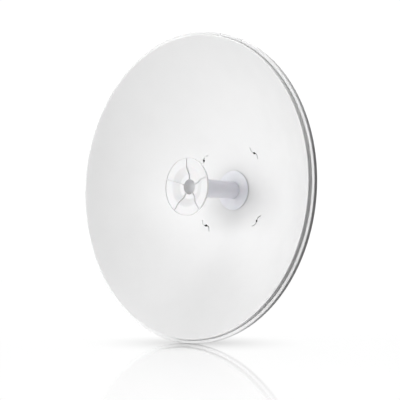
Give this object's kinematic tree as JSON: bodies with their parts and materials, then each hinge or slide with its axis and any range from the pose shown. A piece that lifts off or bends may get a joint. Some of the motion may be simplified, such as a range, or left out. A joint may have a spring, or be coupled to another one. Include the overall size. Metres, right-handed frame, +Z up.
{
  "type": "microwave dish antenna",
  "caption": "Round parabolic microwave dish antenna with a centre feed tube, subreflector and a rear bracket that clamps to a mast.",
  "frame": {"origin": "middle of the mast plate's rear face, where the mast bears on it; the dish's axis passes through it", "axes": "+Z up along the mast, -Y the way the dish faces, +Y out of the mast plate's rear face, +X to the right seen from the front"},
  "size_m": [0.65, 0.3745, 0.65],
  "materials": {
    "reflector_paint": "satin powder coat on pressed steel",
    "feed_plastic": "moulded plastic, satin",
    "rear_plastic": "moulded plastic, matt",
    "connector_metal": "nickel plated brass",
    "galvanised_steel": "hot dip galvanised sheet, dull spangle",
    "fasteners": "zinc plated steel"
  },
  "bodies": {
    "root": {"reflector": "reflector_paint", "subreflector": "feed_plastic", "feed_tube": "feed_plastic", "feed_flange": "feed_plastic", "feed_lock_ring": "rear_plastic", "feed_block": "rear_plastic", "feed_connector_left": "connector_metal", "feed_connector_right": "connector_metal", "hub_plate": "galvanised_steel", "stud_1": "fasteners", "stud_2": "fasteners", "stud_3": "fasteners", "stud_4": "fasteners", "spacer_1": "rear_plastic", "spacer_2": "rear_plastic", "spacer_3": "rear_plastic", "spacer_4": "rear_plastic", "stud_nut_1": "fasteners", "stud_nut_2": "fasteners", "stud_nut_3": "fasteners", "stud_nut_4": "fasteners", "ear_bracket_left": "galvanised_steel", "ear_bracket_right": "galvanised_steel", "foot_bolt_1": "fasteners", "foot_bolt_2": "fasteners", "foot_bolt_3": "fasteners", "foot_bolt_4": "fasteners", "pivot_bolt_left": "fasteners", "pivot_bolt_right": "fasteners", "lock_bolt_left": "fasteners", "lock_bolt_right": "fasteners", "mast_bracket": "galvanised_steel", "mast_clamp_upper": "galvanised_steel", "mast_clamp_lower": "galvanised_steel", "clamp_bolt_1": "fasteners", "clamp_bolt_2": "fasteners", "clamp_bolt_3": "fasteners", "clamp_bolt_4": "fasteners", "clamp_nut_1": "fasteners", "clamp_nut_2": "fasteners", "clamp_nut_3": "fasteners", "clamp_nut_4": "fasteners"}
  },
  "joints": []
}
